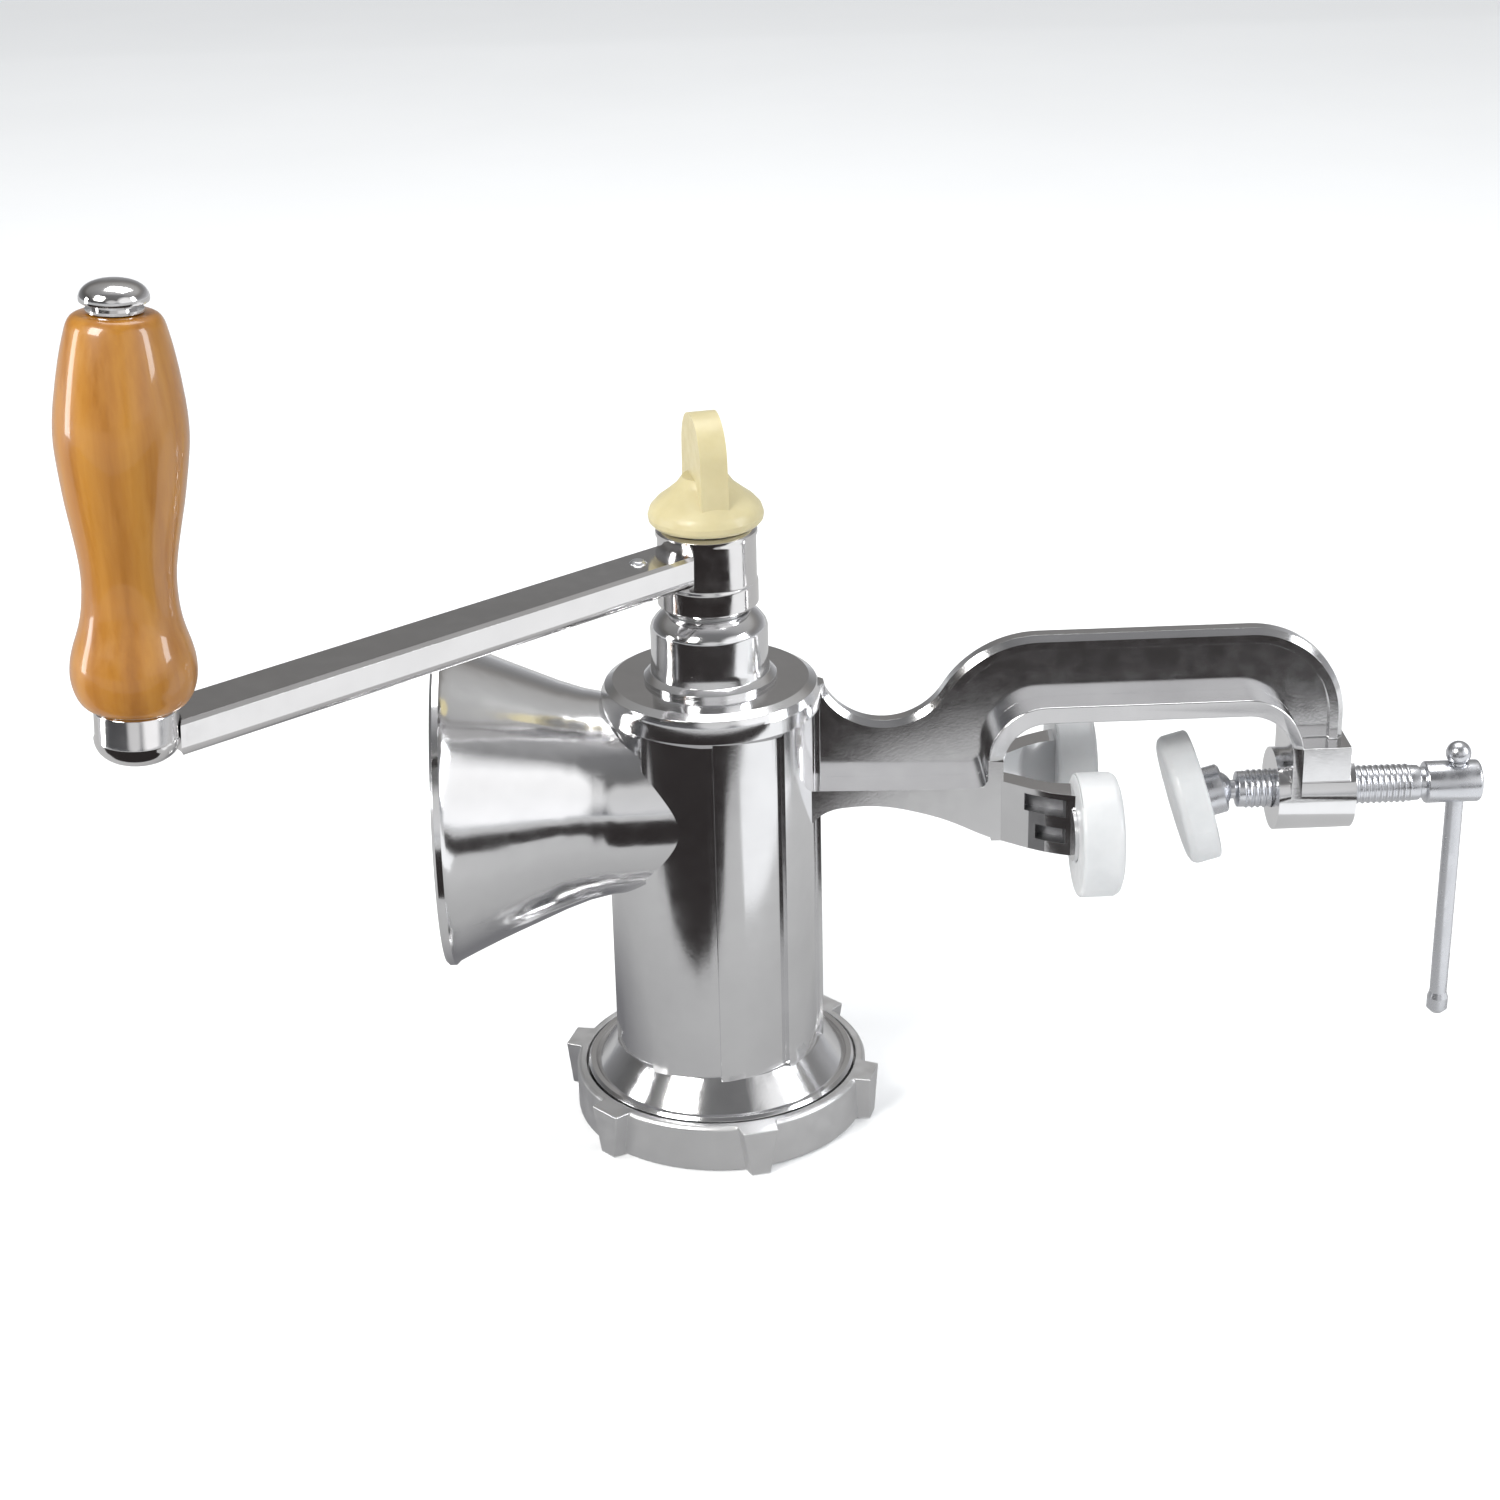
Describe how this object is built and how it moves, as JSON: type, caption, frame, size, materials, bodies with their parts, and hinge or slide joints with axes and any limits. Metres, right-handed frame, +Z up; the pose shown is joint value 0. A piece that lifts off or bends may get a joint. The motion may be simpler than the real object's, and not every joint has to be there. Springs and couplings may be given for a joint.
{
  "type": "manual meat mincer",
  "caption": "Hand-cranked meat mincer with a side hopper, screw-on ring nut, wooden crank grip and a C-shaped table clamp with nylon-padded jaws.",
  "frame": {"origin": "on the barrel axis, at the bottom of the ring nut's outlet opening, which is the plane the mincer stands on", "axes": "+Z up along the barrel axis to the crank, +X along the clamp arm and its screw, -X to the hopper, -Y to the side the crank points to at rest"},
  "size_m": [0.3298, 0.1653, 0.2529],
  "materials": {
    "cast_aluminium": "polished cast aluminium, mirror-like with soft waviness",
    "ring_aluminium": "satin as-cast aluminium",
    "chromed_steel": "bright nickel and chrome plate",
    "tinned_iron": "tinned cast iron, satin",
    "blade_steel": "ground steel",
    "varnished_wood": "glossy orange-brown varnish over fine straight grain",
    "ivory_plastic": "moulded ivory plastic, slightly translucent",
    "white_nylon": "milky white nylon, slightly translucent",
    "zinc_steel": "bright zinc plate",
    "bronze": "plain machined bronze"
  },
  "bodies": {
    "casting": {"barrel": "cast_aluminium", "hopper": "cast_aluminium", "clamp_arm": "cast_aluminium", "front_jaw_pad": "white_nylon", "rear_jaw_pad": "white_nylon", "shaft_bush": "bronze", "thrust_washer": "bronze", "plate_key_pin": "blade_steel"},
    "feed_crank": {"auger": "tinned_iron", "drive_shaft": "chromed_steel", "knife_stud": "blade_steel", "knife": "blade_steel", "crank_hub": "chromed_steel", "crank_arm": "chromed_steel", "crank_pin": "chromed_steel", "crank_end_boss": "chromed_steel", "handle_spindle": "chromed_steel", "handle_washer": "zinc_steel"},
    "grip": {"wood_grip": "varnished_wood"},
    "knob_seat": {"knob_washer": "zinc_steel"},
    "wing_knob": {"wing_knob": "ivory_plastic", "wing_screw_stud": "zinc_steel"},
    "plate": {"perforated_plate": "blade_steel"},
    "ring_nut": {"ring_nut": "ring_aluminium"},
    "screw_end": {"swivel_collar": "zinc_steel"},
    "clamp_screw": {"clamp_screw": "zinc_steel"},
    "tommy_bar": {"tommy_bar": "zinc_steel", "tommy_bar_ball": "zinc_steel"},
    "swivel_foot": {"swivel_disc": "zinc_steel", "swivel_cap": "white_nylon"}
  },
  "joints": [
    {"name": "crank_turn", "type": "hinge", "parent": "casting", "child": "feed_crank", "pos_m": [0, 0, 0.13], "axis": [0, 0, 1], "continuous": true},
    {"name": "grip_spin", "type": "hinge", "parent": "feed_crank", "child": "grip", "pos_m": [-0.12104, -0.11079, 0.16204], "axis": [0.0495, 0.0453, 0.9977], "continuous": true},
    {"name": "knob_lift", "type": "slide", "parent": "feed_crank", "child": "knob_seat", "axis": [0, 0, 1], "range_m": [0, 0.0125]},
    {"name": "wing_knob_turn", "type": "hinge", "parent": "knob_seat", "child": "wing_knob", "pos_m": [0, 0, 0.16], "axis": [0, 0, 1], "range_deg": [0, 3600]},
    {"name": "plate_drop", "type": "slide", "parent": "casting", "child": "plate", "axis": [0, 0, 1], "range_m": [-0.012, 0]},
    {"name": "ring_nut_turn", "type": "hinge", "parent": "plate", "child": "ring_nut", "pos_m": [0, 0, 0.006], "axis": [0, 0, 1], "range_deg": [-1440, 0]},
    {"name": "screw_advance", "type": "slide", "parent": "casting", "child": "screw_end", "axis": [1, 0, 0], "range_m": [-0.01095, 0.009]},
    {"name": "clamp_screw_turn", "type": "hinge", "parent": "screw_end", "child": "clamp_screw", "pos_m": [0.12775, 0, 0.0843], "axis": [1, 0, 0], "range_deg": [-2628, 2160]},
    {"name": "foot_tilt", "type": "hinge", "parent": "screw_end", "child": "swivel_foot", "pos_m": [0.12775, 0, 0.0843], "axis": [0, 1, 0], "range_deg": [0, 28]},
    {"name": "tommy_bar_slide", "type": "slide", "parent": "clamp_screw", "child": "tommy_bar", "axis": [0, 0, 1], "range_m": [0, 0.0555]}
  ],
  "couplings": [
    {"joint": "knob_lift", "follows": "wing_knob_turn", "m_per_rad": 0.00019894},
    {"joint": "plate_drop", "follows": "ring_nut_turn", "m_per_rad": 0.00047746},
    {"joint": "screw_advance", "follows": "clamp_screw_turn", "m_per_rad": 0.00023873}
  ]
}
